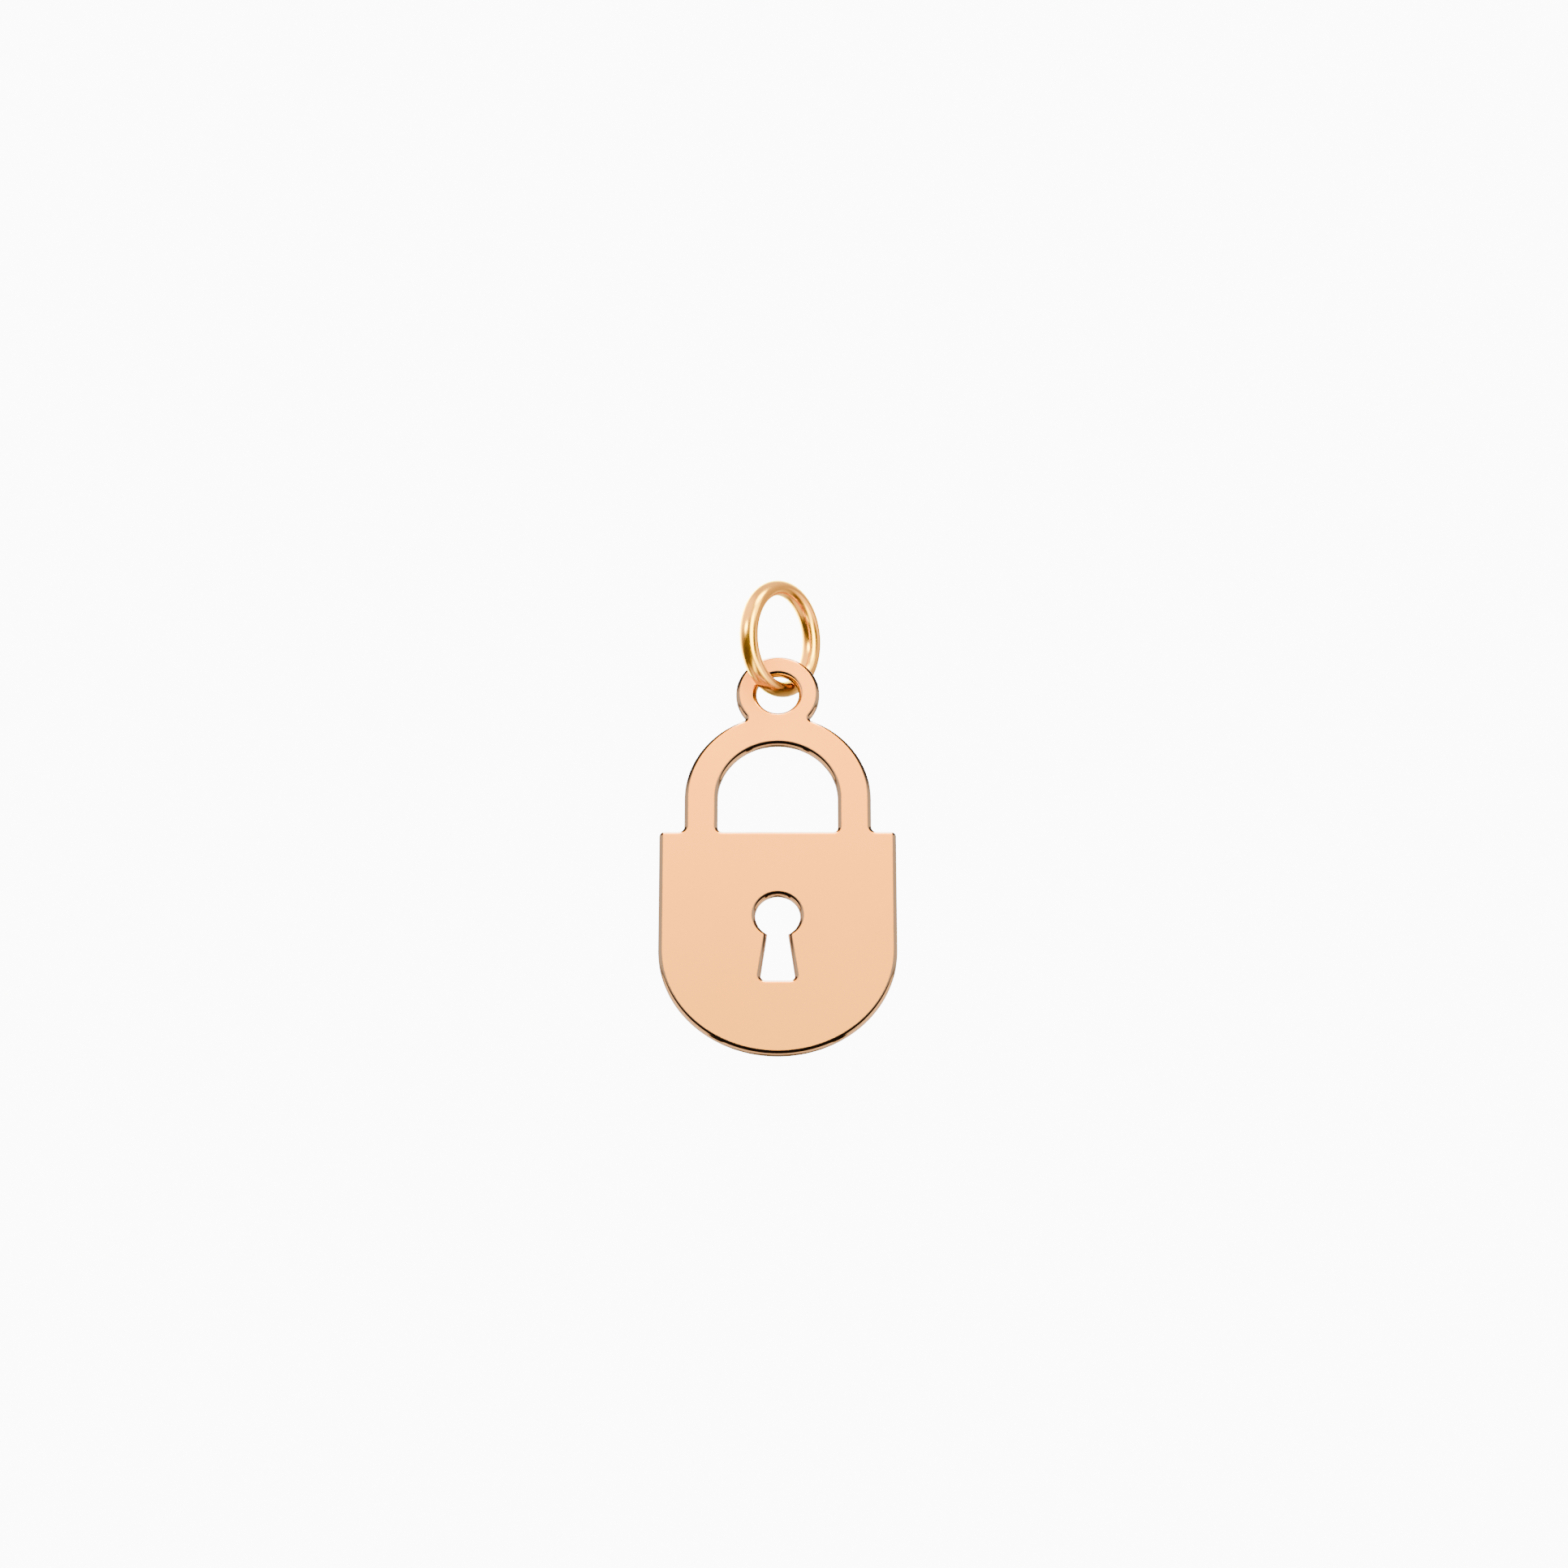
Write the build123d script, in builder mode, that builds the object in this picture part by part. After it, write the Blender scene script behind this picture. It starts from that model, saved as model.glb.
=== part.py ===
from build123d import *
import os
from math import cos, radians, sin, sqrt

# Padlock pendant on its jump ring, in millimetres.
# +Z is up, +X is right and the front faces -Y. The plate hangs plumb, flat in an XZ plane.
# The origin is where a chain carries the ring: the highest point of the ring's inside.

# Plate
plate_thickness = 0.45
edge_round = 0.17

# Body of the padlock
body_width = 10.00
body_side_height = 5.42
body_arc_depth = 4.74
body_corner_round = 0.22

# Shackle
shackle_bar = 1.41
window_width = 5.08
shackle_leg_height = 1.54
shackle_foot_round = 0.25
window_corner_round = 0.20

# Eyelet
eyelet_hole_diameter = 1.81
eyelet_band = 0.88
eyelet_sink = 0.775
neck_round = 0.12

# Keyhole
keyhole_diameter = 1.88
keyhole_drop = 3.88
slot_length = 2.93
slot_throat_width = 0.88
slot_foot_width = 1.49
slot_corner_round = 0.20

# Jump ring
ring_inside_diameter = 3.72
wire_thickness = 0.65
wire_width = 0.85
ring_turn = 52.0
ring_lean = 21.0
ring_shift = 0.11
wire_clearance = 0.28

# The ring's own directions: one crosses it from the left to the right, the other climbs it.
# The ring is turned about the upright, and its top leans out to the front.
turn = radians(ring_turn)
lean = radians(ring_lean)
ring_across = Vector(cos(turn), sin(turn) * cos(lean), sin(turn) * sin(lean))
ring_climb = Vector(0, -sin(lean), cos(lean))
ring_axis = ring_across.cross(ring_climb)
ring_inside_radius = ring_inside_diameter / 2
ring_radius = ring_inside_radius + wire_thickness / 2

# The highest point of the inside is the origin, and the ring hangs below it
to_highest = (ring_across * ring_across.Z + ring_climb * ring_climb.Z).normalized()
ring_centre = to_highest * -ring_inside_radius

# The wire crosses the plate's middle plane just left of the ring's foot, and carries the plate there
shift_share = ring_shift / (ring_radius * ring_across.X)
to_crossing = ring_across * -shift_share - ring_climb * sqrt(1 - shift_share**2)
crossing = ring_centre + to_crossing * ring_radius

# Half widths and radii on the plate
body_edge = body_width / 2
window_edge = window_width / 2
shackle_edge = window_edge + shackle_bar
eyelet_hole_radius = eyelet_hole_diameter / 2
eyelet_radius = eyelet_hole_radius + eyelet_band

# Heights on the plate, from the wire in its eyelet down to the keyhole. The eyelet's circle reaches
# into the shackle's by eyelet_sink.
eyelet_z = crossing.Z + wire_thickness / 2 + wire_clearance - eyelet_hole_radius
arch_z = eyelet_z + eyelet_sink - eyelet_radius - shackle_edge
shoulder_z = arch_z - shackle_leg_height
body_arc_z = shoulder_z - body_side_height
keyhole_z = shoulder_z - keyhole_drop
slot_throat_z = keyhole_z - sqrt((keyhole_diameter / 2) ** 2 - (slot_throat_width / 2) ** 2)
slot_foot_z = keyhole_z - slot_length

plate_plane = Plane(origin=(crossing.X, crossing.Y, 0), x_dir=(1, 0, 0), z_dir=(0, -1, 0))

# The whole plate: body, shackle and eyelet are one sheet, cut through three times
with BuildPart() as padlock_plate:
    with BuildSketch(plate_plane) as plate_outline:
        with BuildLine():
            Polyline(
                (-body_edge, body_arc_z),
                (-body_edge, shoulder_z),
                (body_edge, shoulder_z),
                (body_edge, body_arc_z),
            )
            EllipticalCenterArc((0, body_arc_z), body_edge, body_arc_depth, 180, arc_size=180)
        make_face()
        with BuildLine():
            Polyline(
                (-shackle_edge, arch_z),
                (-shackle_edge, shoulder_z),
                (shackle_edge, shoulder_z),
                (shackle_edge, arch_z),
            )
            CenterArc((0, arch_z), shackle_edge, 0, 180)
        make_face()
        with Locations((0, eyelet_z)):
            Circle(eyelet_radius)
        shoulder_line = vertices().filter_by_position(Axis.Y, shoulder_z - 0.001, shoulder_z + 0.001)
        shoulder_line = shoulder_line.sort_by(Axis.X)
        body_corners = [shoulder_line[0], shoulder_line[-1]]
        shackle_feet = shoulder_line[1:-1]
        fillet(shackle_feet, radius=shackle_foot_round)
        fillet(body_corners, radius=body_corner_round)
        neck_corners = vertices().filter_by_position(Axis.Y, arch_z, eyelet_z, (False, False))
        fillet(neck_corners, radius=neck_round)
    extrude(amount=plate_thickness / 2, both=True)

    with BuildSketch(plate_plane) as window:
        with BuildLine():
            Polyline(
                (-window_edge, arch_z),
                (-window_edge, shoulder_z),
                (window_edge, shoulder_z),
                (window_edge, arch_z),
            )
            CenterArc((0, arch_z), window_edge, 0, 180)
        make_face()
        fillet(vertices().group_by(Axis.Y)[0], radius=window_corner_round)
    extrude(amount=plate_thickness / 2, both=True, mode=Mode.SUBTRACT)

    with BuildSketch(plate_plane) as eyelet_hole:
        with Locations((0, eyelet_z)):
            Circle(eyelet_hole_radius)
    extrude(amount=plate_thickness / 2, both=True, mode=Mode.SUBTRACT)

    with BuildSketch(plate_plane) as keyhole:
        with Locations((0, keyhole_z)):
            Circle(keyhole_diameter / 2)
        with BuildLine():
            Polyline(
                (-slot_throat_width / 2, keyhole_z),
                (-slot_throat_width / 2, slot_throat_z),
                (-slot_foot_width / 2, slot_foot_z),
                (slot_foot_width / 2, slot_foot_z),
                (slot_throat_width / 2, slot_throat_z),
                (slot_throat_width / 2, keyhole_z),
                close=True,
            )
        make_face()
        fillet(vertices().group_by(Axis.Y)[0], radius=slot_corner_round)
    extrude(amount=plate_thickness / 2, both=True, mode=Mode.SUBTRACT)

    # Every rim, front and back, is rounded as a tumbled and polished plate's is
    fillet(faces().filter_by(Axis.Y).edges(), radius=edge_round)

# A closed ring through the eyelet, of oval wire that is wider than it is thick
with BuildPart() as jump_ring:
    wire_plane = Plane(origin=ring_centre, x_dir=ring_across, z_dir=ring_climb)
    with BuildSketch(wire_plane):
        with Locations((ring_radius, 0)):
            Ellipse(wire_thickness / 2, wire_width / 2)
    revolve(axis=Axis(ring_centre, ring_axis))

padlock_plate.part.label = "padlock_plate"
jump_ring.part.label = "jump_ring"

os.makedirs("parts", exist_ok=True)
export_step(padlock_plate.part, "parts/padlock_plate.step")
export_step(jump_ring.part, "parts/jump_ring.step")

swing_axis = to_crossing.cross(ring_axis)
print("hinge at", crossing, "along", swing_axis)
print("eyelet", eyelet_z, "shoulder", shoulder_z, "keyhole", keyhole_z, "foot", body_arc_z - body_arc_depth)
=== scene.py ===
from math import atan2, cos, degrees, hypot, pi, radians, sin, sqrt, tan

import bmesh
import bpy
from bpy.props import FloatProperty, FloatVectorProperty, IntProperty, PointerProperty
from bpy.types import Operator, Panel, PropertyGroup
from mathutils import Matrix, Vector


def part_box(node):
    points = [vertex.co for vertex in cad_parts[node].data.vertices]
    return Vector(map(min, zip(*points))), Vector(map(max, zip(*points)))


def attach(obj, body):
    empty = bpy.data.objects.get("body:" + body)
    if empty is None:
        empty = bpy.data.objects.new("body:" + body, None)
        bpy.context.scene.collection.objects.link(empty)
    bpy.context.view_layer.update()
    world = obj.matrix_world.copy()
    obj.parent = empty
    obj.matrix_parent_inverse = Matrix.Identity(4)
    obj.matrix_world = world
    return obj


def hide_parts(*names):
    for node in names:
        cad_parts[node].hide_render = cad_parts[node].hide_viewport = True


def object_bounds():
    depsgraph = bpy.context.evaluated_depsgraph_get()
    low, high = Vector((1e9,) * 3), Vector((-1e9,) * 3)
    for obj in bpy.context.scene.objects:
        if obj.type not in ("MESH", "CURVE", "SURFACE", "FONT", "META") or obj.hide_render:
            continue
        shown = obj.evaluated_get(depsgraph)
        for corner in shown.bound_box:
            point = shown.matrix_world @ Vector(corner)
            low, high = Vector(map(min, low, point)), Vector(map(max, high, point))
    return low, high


bl_info = {
    "name": "Padlock pendant",
    "version": (1, 0, 0),
    "blender": (4, 5, 0),
    "location": "3D View > Sidebar > Pendant",
    "description": "Models and finishes a flat padlock pendant on its jump ring",
    "category": "Object",
}

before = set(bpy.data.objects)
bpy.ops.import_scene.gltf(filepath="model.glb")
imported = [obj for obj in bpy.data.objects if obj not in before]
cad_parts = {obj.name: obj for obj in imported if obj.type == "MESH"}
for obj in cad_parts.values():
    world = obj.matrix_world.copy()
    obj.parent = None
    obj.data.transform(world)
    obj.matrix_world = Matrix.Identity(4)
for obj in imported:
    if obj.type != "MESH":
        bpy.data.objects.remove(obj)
cad_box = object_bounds()
plate_low, plate_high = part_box("padlock_plate")
ring_low, ring_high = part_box("jump_ring")
plate_middle_x = (plate_low.x + plate_high.x) / 2
plate_middle_y = (plate_low.y + plate_high.y) / 2

MM = 0.001
QUARTER = pi / 2

# In millimetres: points nearer than this are one, and a new mesh starts from a plane of this size
CLOSE = 0.0005
START_SIZE = 0.1

# Steps of each arc in the right half of the plate's edges
EYELET_STEPS = 40
NECK_STEPS = 6
SHACKLE_STEPS = 32
SHACKLE_FOOT_STEPS = 8
CORNER_STEPS = 10
BODY_FOOT_STEPS = 72
EYELET_HOLE_STEPS = 56
WINDOW_ARCH_STEPS = 48
KEYHOLE_STEPS = 48

# Edges that bend less than this are shaded smooth
SMOOTH_UNDER = radians(40)

# A face of the plate is flat where its normal reaches this far to the front or the back
SQUARE_ON = 0.9999

# Faint clouds in the gold. A pattern's scale counts its features in a metre, and its span is the part of
# its values that is used.
CLOUD_SCALE = 260
CLOUD_DETAIL = 3
CLOUD_SPAN = (0.35, 0.65)

# Fine marks of wiping: their stretch along each axis, their turn in radians, and the least and greatest
# roughness in them as shares of the finish's own
WIPING_SCALE = 900
WIPING_SPAN = (0.3, 0.7)
WIPING_STRETCH = (1, 1, 6)
WIPING_TURN = (0.3, 0.2, 0.5)
WIPED_LEAST = 0.97
WIPED_MOST = 1.04

# The slight unevenness that polishing leaves, and its height in millimetres
SWELL_SCALE = 420
PLATE_SWELL = 0.004
WIRE_SWELL = 0.006

# Painted shade on the wall inside the eyelet's hole: its colour is darker there. The darkening fades
# between two depths behind the wall, in millimetres, and leaves a share of the colour.
PAINTED_SHADE_WALL_START = 0.04
PAINTED_SHADE_WALL_END = 0.13
PAINTED_SHADE_WALL_LEFT = 0.50

# Painted shade on the ring where it runs in the hole: its colour is darker there. The darkening fades
# between two distances from a point that lies above the hole's middle.
PAINTED_SHADE_RUN_ABOVE = 0.3
PAINTED_SHADE_RUN_START = 0.55
PAINTED_SHADE_RUN_END = 1.1
PAINTED_SHADE_RUN_LEFT = 0.40

# Where the point looked at lies in the photo: left of the middle and below it, in its own pixels
PHOTO_WIDTH_PX = 1932
AIM_LEFT_PX = 7.7
AIM_BELOW_PX = 42.5

# The camera's sensor in millimetres, and how near and far it sees in metres
SENSOR_WIDTH = 36.0
NEAREST_SEEN = 0.001
FARTHEST_SEEN = 10.0

# The floor's side in metres, and its roughness
FLOOR_SIDE = 8.0
MATT = 1.0

# Globes and panels of light round the pendant's middle, in millimetres
PLATE_GLOBE_RADIUS = 300.0
RING_GLOBE_RADIUS = 270.0
GLOBE_SEGMENTS = 48
GLOBE_RINGS = 24
PANEL_DISTANCE = 160.0

# In a panel's own coordinates: half its side, and how far a glow keeps its full level from the middle
PANEL_HALF = 0.5
GLOW_CORE = 0.15

# The level that a full colour of a ramp stands for
BRIGHTEST = 30.0

# Tints of the plate's light. The cool one keeps its rims from looking orange.
WARM = (1.0, 0.53, 0.0)
PALE = (1.0, 0.90, 0.75)
COOL = (0.90, 1.0, 1.15)

# Tints of the ring's light. The golden one holds little blue, so the ring's brightest places stay yellow.
GOLDEN = (0.95, 0.92, 0.05)
BROWN = (1.0, 0.75, 0.28)
DUSK = (1.0, 0.75, 0.34)

# Levels of light in the globes, each at its share of the way from straight down to straight up
PLATE_SURROUNDINGS = ((0, 0.02), (0.54, 0.02), (0.62, 1.2), (0.74, 1.2), (0.80, 0.10), (1, 0.10))
RING_SURROUNDINGS = ((0, 0.5), (0.15, 0.16), (0.40, 0.12), (0.50, 0.8), (0.75, 1.2), (1, 1.9))

# Levels in the panels before the plate's face and beside it, each at its share of the way up
FACE_LEVELS = ((0, 0.9), (0.06, 1.2), (0.16, 2.3), (0.35, 6.8), (0.6, 12.0), (1, 19.0))
SIDE_LEVELS = ((0, 1.8), (0.6, 2.4), (1, 1.6))

# Panels round the plate: the azimuth and elevation they lie in, their width and height in degrees, the tint
# of their light and its levels
PLATE_PANELS = {
    "face_panel": ((0, 40), (30, 43), WARM, FACE_LEVELS),
    "overhead_panel": ((0, 85), (30, 58), COOL, ((0, 14.0),)),
    "below_panel": ((0, -97), (70, 40), PALE, ((0, 1.9),)),
    "left_low_panel": ((-93, -20), (66, 50), PALE, SIDE_LEVELS),
    "right_low_panel": ((93, -20), (66, 50), PALE, SIDE_LEVELS),
    "back_left_panel": ((-142, -26), (36, 60), PALE, ((0, 1.6),)),
    "back_right_panel": ((142, -26), (36, 60), PALE, ((0, 1.6),)),
    "back_below_panel": ((180, -34), (42, 46), PALE, ((0, 0.3),)),
    "back_panel": ((180, 4), (42, 28), PALE, ((0, 2.6),)),
    "back_above_panel": ((180, 54), (34, 44), PALE, ((0, 5.0),)),
}

# Soft glows round the ring: the azimuth and elevation they lie in, their width and height in degrees, the
# tint of their light and its level in the middle
RING_GLOWS = {
    "front_glow": ((6, -12), (46, 94), GOLDEN, 22.0),
    "front_high_glow": ((18, 50), (50, 36), GOLDEN, 22.0),
    "front_mid_glow": ((22, 22), (80, 44), GOLDEN, 6.0),
    "left_glow": ((-54, 9), (36, 22), GOLDEN, 30.0),
    "left_high_glow": ((-75, 38), (120, 70), BROWN, 2.0),
    "right_low_glow": ((42, -52), (80, 44), GOLDEN, 9.0),
    "left_low_glow": ((-64, -68), (60, 24), GOLDEN, 6.0),
    "right_glow": ((84, -20), (60, 80), BROWN, 3.0),
    "back_low_glow": ((-150, -45), (80, 60), BROWN, 2.0),
    "back_left_glow": ((-145, 22), (80, 80), GOLDEN, 12.0),
    "back_glow": ((178, 42), (90, 56), GOLDEN, 9.0),
    "back_right_glow": ((150, -10), (90, 70), BROWN, 1.3),
}


def length(name, millimetres, description):
    """A property that holds a length."""
    return FloatProperty(
        name=name,
        description=description,
        default=millimetres * MM,
        min=0.0,
        precision=5,
        subtype="DISTANCE",
        unit="LENGTH",
    )


def angle(name, turned, description):
    """A property that holds an angle, given in degrees."""
    return FloatProperty(
        name=name,
        description=description,
        default=radians(turned),
        subtype="ANGLE",
        unit="ROTATION",
    )


def share(name, value, description):
    """A property that holds a share, from 0 to 1."""
    return FloatProperty(
        name=name,
        description=description,
        default=value,
        min=0.0,
        max=1.0,
        precision=3,
        subtype="FACTOR",
    )


def brightness(name, value, description):
    """A property that holds the strength of a light."""
    return FloatProperty(name=name, description=description, default=value, min=0.0, precision=3)


def colour(name, rgb, description):
    """A property that holds a colour."""
    return FloatVectorProperty(
        name=name,
        description=description,
        default=rgb,
        min=0.0,
        max=1.0,
        size=3,
        subtype="COLOR",
    )


def count(name, number, description):
    """A property that holds a whole number."""
    return IntProperty(name=name, description=description, default=number, min=1)


class PlateSizes(PropertyGroup):
    """Sizes of the padlock plate. Its outer size and place come from the frame."""

    edge_round: length("Rim rounding", 0.17, "Radius of the polished rounding along every rim")
    body_arc_depth: length("Foot depth", 4.74, "Height of the body's rounded foot")
    body_side_height: length("Side height", 5.42, "Height of the body's straight sides")
    body_corner_round: length("Shoulder rounding", 0.22, "Radius of the body's two upper corners")
    shackle_bar: length("Shackle bar", 1.41, "Width of the shackle's bar")
    window_width: length("Window width", 5.08, "Width of the opening inside the shackle")
    shackle_leg_height: length("Shackle leg", 1.54, "Height of the shackle's straight legs")
    shackle_foot_round: length("Shackle foot rounding", 0.25, "Radius where the shackle meets the body")
    window_corner_round: length("Window corner rounding", 0.20, "Radius of the window's lower corners")
    eyelet_hole: length("Eyelet hole", 1.81, "Diameter of the eyelet's hole")
    eyelet_band: length("Eyelet band", 0.88, "Width of metal round the eyelet's hole")
    neck_round: length("Neck rounding", 0.12, "Radius where the eyelet meets the shackle")
    keyhole_diameter: length("Keyhole diameter", 1.88, "Diameter of the keyhole's round part")
    keyhole_drop: length("Keyhole drop", 3.88, "Height from the keyhole's centre up to the shoulders")
    slot_length: length("Slot length", 2.93, "Height from the slot's foot up to the keyhole's centre")
    slot_throat_width: length("Slot throat", 0.88, "Width of the slot where it leaves the round part")
    slot_foot_width: length("Slot foot", 1.49, "Width of the slot at its foot")
    slot_corner_round: length("Slot corner rounding", 0.20, "Radius of the slot's lower corners")
    rim_steps: count("Rim steps", 9, "Steps across the rounding of a rim")
    rim_margin: length("Rim margin", 0.04, "Width of the narrow flat strip inside the rounding")


class RingSizes(PropertyGroup):
    """Sizes of the jump ring. Its centre comes from the frame."""

    inside_diameter: length("Inside diameter", 3.72, "Diameter of the ring's inside")
    wire_thickness: length("Wire thickness", 0.65, "Thickness of the wire, across the ring's band")
    wire_width: length("Wire width", 0.85, "Width of the wire, along the ring's axis")
    turn: angle("Turn", 52.0, "How far the ring is turned about the upright")
    lean: angle("Lean", 21.0, "How far the ring's top leans out to the front")
    round_steps: count("Steps round the ring", 192, "Faces once round the ring")
    wire_steps: count("Steps round the wire", 40, "Faces once round the wire")


class Finishes(PropertyGroup):
    """Colours and polish of the two gold alloys."""

    rose_gold: colour("Face", (0.93, 0.382, 0.040), "Colour of the plate's flat faces")
    rose_gold_deep: colour("Face clouds", (0.92, 0.372, 0.037), "Colour of the faint clouds in the faces")
    # The rims' colours are rose gold darkened as painted shade, standing in for the dark reflections along
    # the rims
    rim_gold_with_painted_shade: colour("Rim", (0.62, 0.33, 0.155), "Colour of the plate's darker rims")
    rim_clouds_with_painted_shade: colour("Rim clouds", (0.61, 0.32, 0.15), "Colour of the faint clouds in the rims")
    face_polish: share("Face roughness", 0.32, "Roughness of the plate's satin faces")
    face_metal: share("Face metal", 0.82, "Metal in the faces' shader. The rest of it scatters light")
    rim_polish: share("Rim roughness", 0.09, "Roughness of the plate's polished rims")
    yellow_gold: colour("Ring", (0.94, 0.50, 0.17), "Colour of the ring")
    yellow_gold_deep: colour("Ring clouds", (0.92, 0.46, 0.15), "Colour of the faint clouds in the ring")
    yellow_polish: share("Ring roughness", 0.20, "Roughness of the ring's polish")


class StageSizes(PropertyGroup):
    """The camera, the floor and the pale surroundings."""

    camera_distance: length("Camera distance", 200.0, "Distance from the camera to the point it looks at")
    camera_below: angle("Camera below", 25.0, "How far below the plate's level the camera stands")
    camera_rise: length("Aim height", 0.675, "Height of the point looked at above the shoulders")
    frame_width: length("Frame width", 66.35, "Width that the camera sees at the point it looks at")
    floor_drop: length("Floor drop", 350.0, "Depth of the floor below the hanging point")
    floor_colour: colour("Floor", (0.9, 0.9, 0.9), "Colour of the matt floor")
    backdrop: colour("Backdrop", (1.0, 1.0, 1.0), "Colour of the pale surroundings")
    backdrop_level: brightness("Backdrop brightness", 11.3, "Brightness of the pale surroundings")


PROPERTY_GROUPS = {
    "pendant_plate": PlateSizes,
    "pendant_ring": RingSizes,
    "pendant_finish": Finishes,
    "pendant_stage": StageSizes,
}


def in_mm(value):
    """A length property in millimetres, which is what the meshes are drawn in."""
    return value / MM


def plate_levels(plate):
    """Heights of the plate in millimetres, from its foot and its top in the frame."""
    levels = {}
    levels["arc"] = in_mm(plate_low.z + plate.body_arc_depth)
    levels["shoulder"] = levels["arc"] + in_mm(plate.body_side_height)
    levels["arch"] = levels["shoulder"] + in_mm(plate.shackle_leg_height)
    levels["eyelet"] = in_mm(plate_high.z - plate.eyelet_hole / 2 - plate.eyelet_band)
    levels["keyhole"] = levels["shoulder"] - in_mm(plate.keyhole_drop)
    levels["slot_foot"] = levels["keyhole"] - in_mm(plate.slot_length)
    return levels


def deselect_all():
    """Leaves nothing selected, and no object in edit mode."""
    if bpy.context.object and bpy.context.object.mode != "OBJECT":
        bpy.ops.object.mode_set(mode="OBJECT")
    bpy.ops.object.select_all(action="DESELECT")


def select_vertices(wanted):
    """Selects the wanted vertices of the mesh being edited, and the edges and faces between them."""
    mesh = bmesh.from_edit_mesh(bpy.context.object.data)
    mesh.select_mode = {"VERT"}
    mesh.verts.index_update()
    for face in mesh.faces:
        face.select = False
    for edge in mesh.edges:
        edge.select = False
    for vertex in mesh.verts:
        vertex.select = wanted(vertex)
    mesh.select_flush_mode()
    mesh.select_flush(True)
    bmesh.update_edit_mesh(bpy.context.object.data)


def select_faces(wanted):
    """Selects the wanted faces of the mesh being edited."""
    mesh = bmesh.from_edit_mesh(bpy.context.object.data)
    bpy.ops.mesh.select_all(action="DESELECT")
    for face in mesh.faces:
        face.select_set(wanted(face))
    bmesh.update_edit_mesh(bpy.context.object.data)


class Pen:
    """Draws wire in the mesh being edited, in a plane parallel to the plate, as seen from the front."""

    def __init__(self, x, y, z):
        """Sets one new vertex down at a point."""
        self.x, self.y, self.z = x, y, z
        bpy.ops.mesh.select_all(action="DESELECT")
        bpy.ops.mesh.primitive_plane_add(size=START_SIZE, location=(x, y, z))
        bpy.ops.mesh.merge(type="CENTER")

    def line_to(self, x, z):
        """Draws a straight line."""
        bpy.ops.mesh.extrude_region_move(TRANSFORM_OT_translate={"value": (x - self.x, 0, z - self.z)})
        self.x, self.z = x, z

    def arc(self, centre_x, centre_z, turned, steps):
        """Draws an arc round a centre. A turn above 0 goes clockwise."""
        bpy.ops.mesh.spin(
            steps=steps,
            angle=turned,
            center=(centre_x, self.y, centre_z),
            axis=(0, -1, 0),
        )
        across, up = self.x - centre_x, self.z - centre_z
        self.x = centre_x + across * cos(turned) + up * sin(turned)
        self.z = centre_z + up * cos(turned) - across * sin(turned)


def draw_outer_edge(plate, levels, inset, y):
    """Right half of the plate's outer edge, from the eyelet's top to the foot, set in by inset."""
    body_edge = in_mm((plate_high.x - plate_low.x) / 2)
    shackle_edge = in_mm(plate.window_width / 2 + plate.shackle_bar)
    eyelet_radius = in_mm(plate.eyelet_hole / 2 + plate.eyelet_band)
    neck = in_mm(plate.neck_round)
    foot = in_mm(plate.shackle_foot_round)
    corner = in_mm(plate.body_corner_round)
    arch, eyelet, shoulder, arc = levels["arch"], levels["eyelet"], levels["shoulder"], levels["arc"]

    # The neck's rounding touches the shackle's circle and the eyelet's from outside
    to_shackle = shackle_edge + neck
    to_eyelet = eyelet_radius + neck
    apart = eyelet - arch
    neck_rise = (apart**2 + to_shackle**2 - to_eyelet**2) / (2 * apart)
    neck_x = sqrt(to_shackle**2 - neck_rise**2)
    neck_z = arch + neck_rise
    off_eyelet = atan2(neck_x, neck_z - eyelet)
    off_shackle = atan2(neck_x, neck_rise)

    pen = Pen(0, y, eyelet + eyelet_radius - inset)
    pen.arc(0, eyelet, off_eyelet, EYELET_STEPS)
    pen.arc(neck_x, neck_z, off_shackle - off_eyelet, NECK_STEPS)
    pen.arc(0, arch, QUARTER - off_shackle, SHACKLE_STEPS)
    pen.line_to(shackle_edge - inset, shoulder + foot)
    pen.arc(shackle_edge + foot, shoulder + foot, -QUARTER, SHACKLE_FOOT_STEPS)
    pen.line_to(body_edge - corner, shoulder - inset)
    pen.arc(body_edge - corner, shoulder - corner, QUARTER, CORNER_STEPS)
    pen.line_to(body_edge - inset, arc)
    pen.arc(0, arc, QUARTER, BODY_FOOT_STEPS)

    # The foot is a little flatter than a circle
    depth = in_mm(plate.body_arc_depth)
    flatter = (depth - inset) / (body_edge - inset)

    def in_foot(vertex):
        return vertex.co.z < arc and abs(vertex.co.y - y) < CLOSE and not vertex.link_faces

    select_vertices(in_foot)
    bpy.ops.transform.resize(value=(1, 1, flatter), center_override=(0, y, arc))


def draw_eyelet_hole(plate, levels, inset, y):
    """Right half of the eyelet's hole, widened by inset."""
    radius = in_mm(plate.eyelet_hole / 2) + inset
    pen = Pen(0, y, levels["eyelet"] + radius)
    pen.arc(0, levels["eyelet"], pi, EYELET_HOLE_STEPS)


def draw_window(plate, levels, inset, y):
    """Right half of the window inside the shackle, widened by inset."""
    edge = in_mm(plate.window_width / 2)
    corner = in_mm(plate.window_corner_round)
    shoulder = levels["shoulder"]
    pen = Pen(0, y, levels["arch"] + edge + inset)
    pen.arc(0, levels["arch"], QUARTER, WINDOW_ARCH_STEPS)
    pen.line_to(edge + inset, shoulder + corner)
    pen.arc(edge - corner, shoulder + corner, QUARTER, CORNER_STEPS)
    pen.line_to(0, shoulder - inset)


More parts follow.
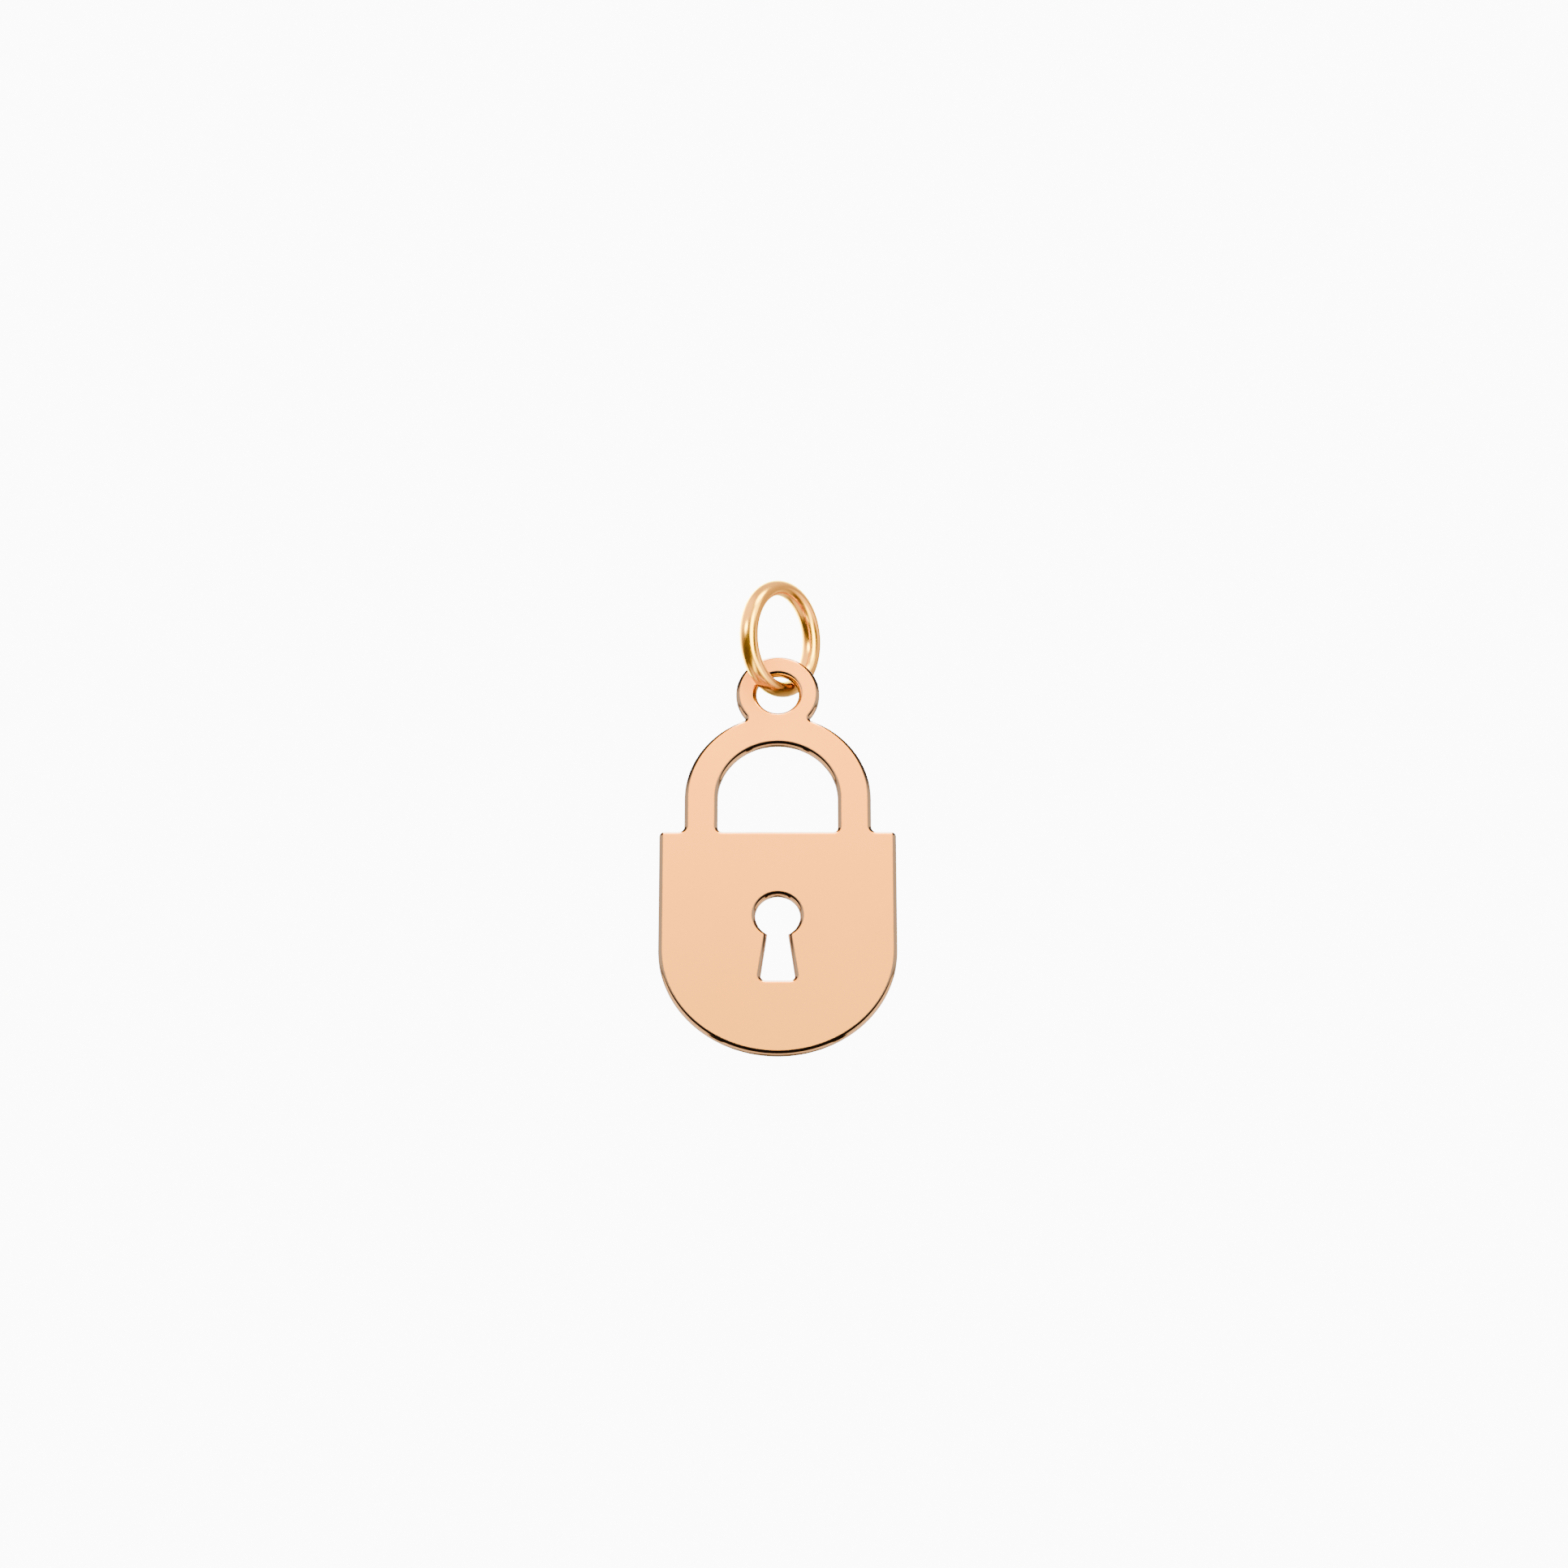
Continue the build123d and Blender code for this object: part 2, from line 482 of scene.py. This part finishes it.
def draw_keyhole(plate, levels, inset, y):
    """Right half of the keyhole, widened by inset."""
    centre, slot_foot = levels["keyhole"], levels["slot_foot"]
    radius = in_mm(plate.keyhole_diameter / 2)
    throat = in_mm(plate.slot_throat_width / 2)
    foot = in_mm(plate.slot_foot_width / 2)
    corner = in_mm(plate.slot_corner_round)
    throat_z = centre - sqrt(radius**2 - throat**2)

    # The slot's side, as a line down from the throat, with its outward normal
    side_length = hypot(foot - throat, slot_foot - throat_z)
    side_x = (foot - throat) / side_length
    side_z = (slot_foot - throat_z) / side_length
    out_x, out_z = -side_z, side_x

    # Where the widened circle meets the widened side
    start_x = throat + out_x * inset
    start_z = throat_z + out_z * inset - centre
    along = start_x * side_x + start_z * side_z
    short = start_x**2 + start_z**2 - (radius + inset) ** 2
    step = -along + sqrt(along**2 - short)
    meet_x = start_x + side_x * step
    meet_z = start_z + side_z * step
    round_turn = atan2(meet_x, meet_z)

    # The foot's corner touches the side and the foot from inside the slot
    corner_z = slot_foot + corner
    corner_x = throat + (-corner - out_z * (corner_z - throat_z)) / out_x

    pen = Pen(0, y, centre + radius + inset)
    pen.arc(0, centre, round_turn, KEYHOLE_STEPS)
    pen.line_to(corner_x + out_x * (corner + inset), corner_z + out_z * (corner + inset))
    pen.arc(corner_x, corner_z, QUARTER + atan2(out_z, out_x), CORNER_STEPS)
    pen.line_to(0, slot_foot - inset)


def rim_profile(plate):
    """Inset and height above the middle plane of each line across a rim, out to the front face."""
    half = in_mm((plate_high.y - plate_low.y) / 2)
    radius = in_mm(plate.edge_round)
    lines = [(0.0, 0.0)]
    for step in range(plate.rim_steps + 1):
        turned = QUARTER * step / plate.rim_steps
        lines.append((radius * (1 - cos(turned)), half - radius + radius * sin(turned)))
    lines.append((radius + in_mm(plate.rim_margin), half))
    return lines


def add_rim(draw, plate, levels):
    """Draws one edge of the plate line by line across its rim and bridges the lines to a strip."""
    mesh = bpy.context.object.data
    middle = in_mm(plate_middle_y)
    before = None
    for inset, height in rim_profile(plate):
        start = len(bmesh.from_edit_mesh(mesh).verts)
        draw(plate, levels, inset, middle - height)
        end = len(bmesh.from_edit_mesh(mesh).verts)
        if before:
            low, high = before
            select_vertices(lambda vertex: low <= vertex.index < high or start <= vertex.index < end)
            bpy.ops.mesh.bridge_edge_loops()
        before = (start, end)


def start_mesh():
    """A new object with an empty mesh, in edit mode."""
    deselect_all()
    bpy.ops.mesh.primitive_plane_add(size=START_SIZE, location=(0, 0, 0))
    bpy.ops.object.mode_set(mode="EDIT")
    bpy.ops.mesh.delete(type="VERT")
    return bpy.context.object


def add_mirror_image(piece, axes):
    """Adds the mirror image of the piece being edited, along the one of its three axes that is marked."""
    bpy.ops.object.mode_set(mode="OBJECT")
    bpy.ops.object.modifier_add(type="MIRROR")
    mirror = piece.modifiers[-1]
    mirror.use_axis = axes
    mirror.merge_threshold = CLOSE
    bpy.ops.object.modifier_apply(modifier=mirror.name)
    bpy.ops.object.mode_set(mode="EDIT")


def check_closed(piece):
    """Raises an error if a piece's mesh is empty or has an open edge."""
    mesh = bmesh.new()
    mesh.from_mesh(piece.data)
    closed = len(mesh.faces) > 0 and all(edge.is_manifold for edge in mesh.edges)
    mesh.free()
    if not closed:
        raise RuntimeError(f"the mesh of {piece.name} isn't closed")


def finish_mesh(piece, name):
    """Brings a piece drawn in millimetres to metres, with its place in its mesh, and names it."""
    bpy.ops.object.mode_set(mode="OBJECT")
    piece.scale = (MM, MM, MM)
    bpy.ops.object.transform_apply(location=True, rotation=True, scale=True)
    piece.name = name
    piece.data.name = name
    piece.data.materials.clear()
    check_closed(piece)


class PENDANT_OT_plate(Operator):
    """Model the padlock plate with its rounded rims"""

    bl_idname = "pendant.plate"
    bl_label = "Padlock plate"

    def execute(self, context):
        plate = context.scene.pendant_plate
        finish = context.scene.pendant_finish
        levels = plate_levels(plate)
        middle = in_mm(plate_middle_y)
        front = in_mm(plate_low.y)

        # Right half of the front half: four edges, each a strip across its rim
        piece = start_mesh()
        for draw in (draw_outer_edge, draw_eyelet_hole, draw_window, draw_keyhole):
            add_rim(draw, plate, levels)

        # The left half mirrors the right, and the flat face fills what the strips leave
        add_mirror_image(piece, (True, False, False))
        select_vertices(lambda vertex: abs(vertex.co.y - front) < CLOSE and vertex.is_boundary)
        bpy.ops.mesh.fill(use_beauty=True)

        # The back half mirrors the front in the plate's middle plane
        bpy.ops.mesh.select_all(action="SELECT")
        bpy.ops.transform.translate(value=(0, -middle, 0))
        add_mirror_image(piece, (False, True, False))
        bpy.ops.mesh.select_all(action="SELECT")
        bpy.ops.mesh.remove_doubles(threshold=CLOSE)
        bpy.ops.mesh.normals_make_consistent(inside=False)
        bpy.ops.transform.translate(value=(in_mm(plate_middle_x), middle, 0))
        finish_mesh(piece, "padlock_plate_polished")
        bpy.ops.object.shade_smooth_by_angle(angle=SMOOTH_UNDER)

        # The rims are polished, and the flat faces get the second finish, which is satin
        piece.data.materials.append(rim_gold(finish, plate))
        piece.data.materials.append(face_gold(finish, plate))
        bpy.ops.object.mode_set(mode="EDIT")
        select_faces(lambda face: abs(face.normal.y) > SQUARE_ON)
        piece.active_material_index = 1
        bpy.ops.object.material_slot_assign()
        bpy.ops.object.mode_set(mode="OBJECT")

        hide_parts("padlock_plate")
        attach(piece, "pendant")
        return {"FINISHED"}


class PENDANT_OT_ring(Operator):
    """Model the jump ring of oval wire"""

    bl_idname = "pendant.ring"
    bl_label = "Jump ring"

    def execute(self, context):
        ring = context.scene.pendant_ring
        wire = in_mm(ring.wire_thickness)

        # A ring of round wire, widened to its oval
        deselect_all()
        bpy.ops.mesh.primitive_torus_add(
            major_segments=ring.round_steps,
            minor_segments=ring.wire_steps,
            major_radius=in_mm(ring.inside_diameter / 2) + wire / 2,
            minor_radius=wire / 2,
        )
        piece = context.object
        wider = ring.wire_width / ring.wire_thickness
        bpy.ops.object.mode_set(mode="EDIT")
        bpy.ops.mesh.select_all(action="SELECT")
        bpy.ops.transform.resize(value=(1, 1, wider), center_override=(0, 0, 0))
        bpy.ops.mesh.normals_make_consistent(inside=False)
        bpy.ops.object.mode_set(mode="OBJECT")

        # The ring stands up, is turned about the upright and leans out to the front
        upright = Matrix.Rotation(QUARTER, 4, "X")
        turned = Matrix.Rotation(ring.turn, 4, "Z")
        leaning = Matrix.Rotation(ring.lean, 4, "X")
        piece.rotation_euler = (leaning @ turned @ upright).to_euler()
        bpy.ops.object.transform_apply(location=False, rotation=True, scale=False)
        piece.location = (ring_low + ring_high) / 2 / MM
        bpy.ops.object.transform_apply(location=True, rotation=False, scale=False)
        finish_mesh(piece, "jump_ring_polished")
        bpy.ops.object.shade_smooth()

        piece.data.materials.append(ring_gold(context.scene.pendant_finish, context.scene.pendant_plate))
        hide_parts("jump_ring")
        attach(piece, "ring")
        return {"FINISHED"}


class Wiring:
    """The nodes of one material, linked in turn."""

    def __init__(self, name):
        self.material = bpy.data.materials.new(name)
        self.material.use_nodes = True
        self.nodes = self.material.node_tree.nodes
        self.links = self.material.node_tree.links
        self.place = self.nodes.new("ShaderNodeTexCoord").outputs["Object"]

    def between(self, value, low, high, to_low, to_high, smooth=False):
        """A value moved from one range to another, and held inside it."""
        step = self.nodes.new("ShaderNodeMapRange")
        step.interpolation_type = "SMOOTHSTEP" if smooth else "LINEAR"
        step.inputs["From Min"].default_value = low
        step.inputs["From Max"].default_value = high
        step.inputs["To Min"].default_value = to_low
        step.inputs["To Max"].default_value = to_high
        self.links.new(value, step.inputs["Value"])
        return step.outputs["Result"]


class Alloy(Wiring):
    """The nodes of a metal."""

    def __init__(self, name, metal):
        super().__init__(name)
        self.shader = self.nodes["Principled BSDF"]
        self.shader.inputs["Metallic"].default_value = metal

    def stretched(self, scale, turned):
        """Object coordinates, stretched along each axis and turned, in radians."""
        mapping = self.nodes.new("ShaderNodeMapping")
        mapping.inputs["Scale"].default_value = scale
        mapping.inputs["Rotation"].default_value = turned
        self.links.new(self.place, mapping.inputs["Vector"])
        return mapping.outputs["Vector"]

    def noise(self, vector, scale, detail=1):
        """A noise pattern's value. Scale counts the features in a metre."""
        noise = self.nodes.new("ShaderNodeTexNoise")
        noise.inputs["Scale"].default_value = scale
        noise.inputs["Detail"].default_value = detail
        self.links.new(vector, noise.inputs["Vector"])
        return noise.outputs["Fac"]

    def blended(self, value, first, second):
        """A colour between two, as the value says."""
        ramp = self.nodes.new("ShaderNodeValToRGB")
        ramp.color_ramp.elements[0].color = (*first, 1)
        ramp.color_ramp.elements[1].color = (*second, 1)
        self.links.new(value, ramp.inputs["Fac"])
        return ramp.outputs["Color"]

    def painted_shade_round(self, tint, centre, inner, outer, share_left):
        """Painted shade: a colour darker round a point, share_left of it up to inner, and all of it from
        outer.
        """
        away = self.nodes.new("ShaderNodeVectorMath")
        away.operation = "DISTANCE"
        away.inputs[1].default_value = centre
        self.links.new(self.place, away.inputs[0])
        left = self.between(away.outputs["Value"], inner, outer, share_left, 1)
        darker = self.nodes.new("ShaderNodeVectorMath")
        darker.operation = "SCALE"
        self.links.new(tint, darker.inputs[0])
        self.links.new(left, darker.inputs["Scale"])
        return darker.outputs["Vector"]

    def bumped(self, height, depth):
        """Raises the surface by a pattern, up to a depth in metres."""
        bump = self.nodes.new("ShaderNodeBump")
        bump.inputs["Strength"].default_value = 1.0
        bump.inputs["Distance"].default_value = depth
        self.links.new(height, bump.inputs["Height"])
        self.links.new(bump.outputs["Normal"], self.shader.inputs["Normal"])


def finished_gold(name, light, deep, roughness, swell, painted_shade_place, metal=1.0):
    """A gold alloy with faint clouds, fine wiping marks and a surface that isn't quite flat.

    A place of painted shade is its middle, the distances that the darkening fades between, and the share of
    colour left.
    """
    alloy = Alloy(name, metal)
    clouds = alloy.noise(alloy.place, CLOUD_SCALE, CLOUD_DETAIL)
    tint = alloy.blended(alloy.between(clouds, *CLOUD_SPAN, 0, 1), deep, light)
    # The base colour carries painted shade round the given place
    alloy.links.new(alloy.painted_shade_round(tint, *painted_shade_place), alloy.shader.inputs["Base Color"])

    marks = alloy.noise(alloy.stretched(WIPING_STRETCH, WIPING_TURN), WIPING_SCALE)
    wiped = alloy.between(marks, *WIPING_SPAN, roughness * WIPED_LEAST, roughness * WIPED_MOST)
    alloy.links.new(wiped, alloy.shader.inputs["Roughness"])

    alloy.bumped(alloy.noise(alloy.place, SWELL_SCALE), swell * MM)
    return alloy.material


def eyelet_centre(plate):
    """The middle of the eyelet's hole."""
    height = plate_high.z - plate.eyelet_hole / 2 - plate.eyelet_band
    return Vector((plate_middle_x, plate_middle_y, height))


def painted_shade_wall(plate):
    """Painted shade on the wall inside the eyelet's hole."""
    wall = plate.eyelet_hole / 2
    return eyelet_centre(plate), wall + PAINTED_SHADE_WALL_START * MM, wall + PAINTED_SHADE_WALL_END * MM, PAINTED_SHADE_WALL_LEFT


def painted_shade_run(plate):
    """Painted shade on the stretch of the ring that runs in the eyelet's hole."""
    middle = eyelet_centre(plate) + Vector((0, 0, PAINTED_SHADE_RUN_ABOVE * MM))
    return middle, PAINTED_SHADE_RUN_START * MM, PAINTED_SHADE_RUN_END * MM, PAINTED_SHADE_RUN_LEFT


def rim_gold(finish, plate):
    """Polished rose gold for the plate's rims, darkened as painted shade, with painted shade in the
    eyelet's hole.
    """
    return finished_gold(
        "rose_gold",
        finish.rim_gold_with_painted_shade,
        finish.rim_clouds_with_painted_shade,
        finish.rim_polish,
        PLATE_SWELL,
        painted_shade_wall(plate),
    )


def face_gold(finish, plate):
    """Satin rose gold for the plate's flat faces, with painted shade round the eyelet's hole."""
    return finished_gold(
        "rose_gold_face",
        finish.rose_gold,
        finish.rose_gold_deep,
        finish.face_polish,
        PLATE_SWELL,
        painted_shade_wall(plate),
        finish.face_metal,
    )


def ring_gold(finish, plate):
    """Polished yellow gold for the ring, with painted shade where it runs in the eyelet's hole."""
    return finished_gold(
        "yellow_gold",
        finish.yellow_gold,
        finish.yellow_gold_deep,
        finish.yellow_polish,
        WIRE_SWELL,
        painted_shade_run(plate),
    )


def plain_material(name, rgb):
    """A matt colour for the stage."""
    material = bpy.data.materials.new(name)
    material.use_nodes = True
    shader = material.node_tree.nodes["Principled BSDF"]
    shader.inputs["Base Color"].default_value = (*rgb, 1)
    shader.inputs["Roughness"].default_value = MATT
    return material


class Glow(Wiring):
    """The nodes of a glowing surface. Where it is see-through, what lies behind it adds its own light."""

    def __init__(self, name, see_through=True):
        super().__init__(name)
        self.nodes.remove(self.nodes["Principled BSDF"])
        self.emission = self.nodes.new("ShaderNodeEmission")
        surface = self.emission.outputs["Emission"]
        if see_through:
            both = self.nodes.new("ShaderNodeAddShader")
            clear = self.nodes.new("ShaderNodeBsdfTransparent")
            self.links.new(surface, both.inputs[0])
            self.links.new(clear.outputs["BSDF"], both.inputs[1])
            surface = both.outputs["Shader"]
        self.links.new(surface, self.nodes["Material Output"].inputs["Surface"])

    def along(self, axis, low, high, tint, levels):
        """Light that changes along an axis of the object. Levels are (share of the way, level)."""
        split = self.nodes.new("ShaderNodeSeparateXYZ")
        ramp = self.nodes.new("ShaderNodeValToRGB")
        ramp.color_ramp.elements.remove(ramp.color_ramp.elements[1])
        for step, (at, level) in enumerate(levels):
            element = ramp.color_ramp.elements[0] if step == 0 else ramp.color_ramp.elements.new(at)
            element.position = at
            element.color = (*[part * level / BRIGHTEST for part in tint], 1)
        self.links.new(self.place, split.inputs["Vector"])
        self.links.new(self.between(split.outputs[axis], low, high, 0, 1), ramp.inputs["Fac"])
        self.links.new(ramp.outputs["Color"], self.emission.inputs["Color"])
        self.emission.inputs["Strength"].default_value = BRIGHTEST
        return self.material

    def soft(self, tint, level):
        """Light that fades from the middle of a panel to its edge."""
        away = self.nodes.new("ShaderNodeVectorMath")
        away.operation = "LENGTH"
        self.links.new(self.place, away.inputs[0])
        fade = self.between(away.outputs["Value"], GLOW_CORE, PANEL_HALF, level, 0, smooth=True)
        self.links.new(fade, self.emission.inputs["Strength"])
        self.emission.inputs["Color"].default_value = (*tint, 1)
        return self.material


def direction(azimuth, elevation):
    """The direction to a place round the pendant, in degrees. Azimuth 0 is the front and 90 the right."""
    around, up = radians(azimuth), radians(elevation)
    return Vector((sin(around) * cos(up), -cos(around) * cos(up), sin(up)))


def stage_centre():
    """The middle of the pendant."""
    low, high = cad_box
    return (low + high) / 2


def only_mirrored(thing, receiver):
    """Lets a thing of the stage be seen in the receiver's polished metal, and nowhere else."""
    thing.visible_camera = False
    thing.visible_shadow = False
    thing.visible_diffuse = False
    thing.light_linking.receiver_collection = receiver


def lit_alone(name, piece):
    """A collection that holds the one piece that some lights are for. The piece is modelled before them."""
    receiver = bpy.data.collections.new(name)
    receiver.objects.link(bpy.data.objects[piece])
    return receiver


def add_panel(name, facing, spans, material, receiver):
    """A panel that faces the pendant from a place round it. Spans are its width and height, in degrees."""
    out = direction(*facing)
    deselect_all()
    bpy.ops.mesh.primitive_plane_add(
        size=2 * PANEL_HALF,
        location=stage_centre() + out * PANEL_DISTANCE * MM,
        rotation=out.to_track_quat("Z", "Y").to_euler(),
    )
    panel = bpy.context.object
    panel.scale = [2 * PANEL_DISTANCE * MM * tan(radians(span / 2)) for span in spans] + [1]
    panel.name = name
    panel.data.materials.append(material)
    only_mirrored(panel, receiver)


def add_globe(glow, radius, tint, levels, receiver):
    """A glowing globe round the pendant, which gives the metal plain soft surroundings to mirror."""
    deselect_all()
    bpy.ops.mesh.primitive_uv_sphere_add(
        segments=GLOBE_SEGMENTS,
        ring_count=GLOBE_RINGS,
        radius=radius * MM,
        location=stage_centre(),
    )
    globe = bpy.context.object
    globe.name = glow.material.name
    globe.data.materials.append(glow.along("Z", -radius * MM, radius * MM, tint, levels))
    only_mirrored(globe, receiver)


def add_plate_light():
    """Surroundings that draw dark and light lines along the plate's rims, and panels for its faces."""
    receiver = lit_alone("plate_light", "padlock_plate_polished")
    surroundings = Glow("plate_surroundings", see_through=False)
    add_globe(surroundings, PLATE_GLOBE_RADIUS, COOL, PLATE_SURROUNDINGS, receiver)
    for name, (facing, spans, tint, levels) in PLATE_PANELS.items():
        light = Glow(name).along("Y", -PANEL_HALF, PANEL_HALF, tint, levels)
        add_panel(name, facing, spans, light, receiver)


def add_ring_light():
    """Brownish surroundings with soft golden glows for the ring."""
    receiver = lit_alone("ring_light", "jump_ring_polished")
    add_globe(Glow("ring_surroundings"), RING_GLOBE_RADIUS, DUSK, RING_SURROUNDINGS, receiver)
    for name, (facing, spans, tint, level) in RING_GLOWS.items():
        add_panel(name, facing, spans, Glow(name).soft(tint, level), receiver)


def set_camera(stage, plate):
    """The camera at the photo's angle, which shows the pendant in the photo's size and place."""
    aim_height = plate_levels(plate)["shoulder"] * MM + stage.camera_rise
    aim = Vector((plate_middle_x, plate_middle_y, aim_height))
    towards_camera = direction(0, -degrees(stage.camera_below))
    deselect_all()
    bpy.ops.object.camera_add(location=aim + towards_camera * stage.camera_distance)
    camera = bpy.context.object
    camera.name = "camera"
    camera.rotation_euler = towards_camera.to_track_quat("Z", "Y").to_euler()
    camera.data.sensor_width = SENSOR_WIDTH
    camera.data.lens = SENSOR_WIDTH * stage.camera_distance / stage.frame_width
    camera.data.shift_x = AIM_LEFT_PX / PHOTO_WIDTH_PX
    camera.data.shift_y = AIM_BELOW_PX / PHOTO_WIDTH_PX
    camera.data.clip_start = NEAREST_SEEN
    camera.data.clip_end = FARTHEST_SEEN
    bpy.context.scene.camera = camera


def set_backdrop(stage):
    """The pale surroundings behind the pendant, which also light the floor and the satin faces."""
    world = bpy.data.worlds.new("pale_surroundings")
    world.use_nodes = True
    background = world.node_tree.nodes["Background"]
    background.inputs["Color"].default_value = (*stage.backdrop, 1)
    background.inputs["Strength"].default_value = stage.backdrop_level
    bpy.context.scene.world = world


def add_floor(stage):
    """A pale floor far below the pendant."""
    deselect_all()
    bpy.ops.mesh.primitive_plane_add(size=FLOOR_SIDE, location=(0, 0, -stage.floor_drop))
    floor = bpy.context.object
    floor.name = "floor"
    floor.data.materials.append(plain_material("pale_floor", stage.floor_colour))


class PENDANT_OT_stage(Operator):
    """Set the camera, the floor and the lights"""

    bl_idname = "pendant.stage"
    bl_label = "Camera and lights"

    def execute(self, context):
        stage = context.scene.pendant_stage
        set_camera(stage, context.scene.pendant_plate)
        set_backdrop(stage)
        add_floor(stage)
        add_plate_light()
        add_ring_light()
        return {"FINISHED"}


class PENDANT_PT_panel(Panel):
    """The pendant's sizes, finishes and stage"""

    bl_idname = "PENDANT_PT_panel"
    bl_label = "Padlock pendant"
    bl_space_type = "VIEW_3D"
    bl_region_type = "UI"
    bl_category = "Pendant"

    def draw(self, context):
        layout = self.layout
        for operator in OPERATORS:
            layout.operator(operator.bl_idname)
        for name, group in PROPERTY_GROUPS.items():
            box = layout.box()
            box.label(text=group.__doc__.split(".")[0])
            for field in group.__annotations__:
                box.prop(getattr(context.scene, name), field)


OPERATORS = (PENDANT_OT_plate, PENDANT_OT_ring, PENDANT_OT_stage)
CLASSES = (*PROPERTY_GROUPS.values(), *OPERATORS, PENDANT_PT_panel)


def register():
    for each in CLASSES:
        bpy.utils.register_class(each)
    for name, group in PROPERTY_GROUPS.items():
        setattr(bpy.types.Scene, name, PointerProperty(type=group))


def unregister():
    for name in PROPERTY_GROUPS:
        delattr(bpy.types.Scene, name)
    for each in reversed(CLASSES):
        bpy.utils.unregister_class(each)


def main():
    register()
    bpy.ops.pendant.plate()
    bpy.ops.pendant.ring()
    bpy.ops.pendant.stage()
    deselect_all()


if __name__ == "__main__":
    main()
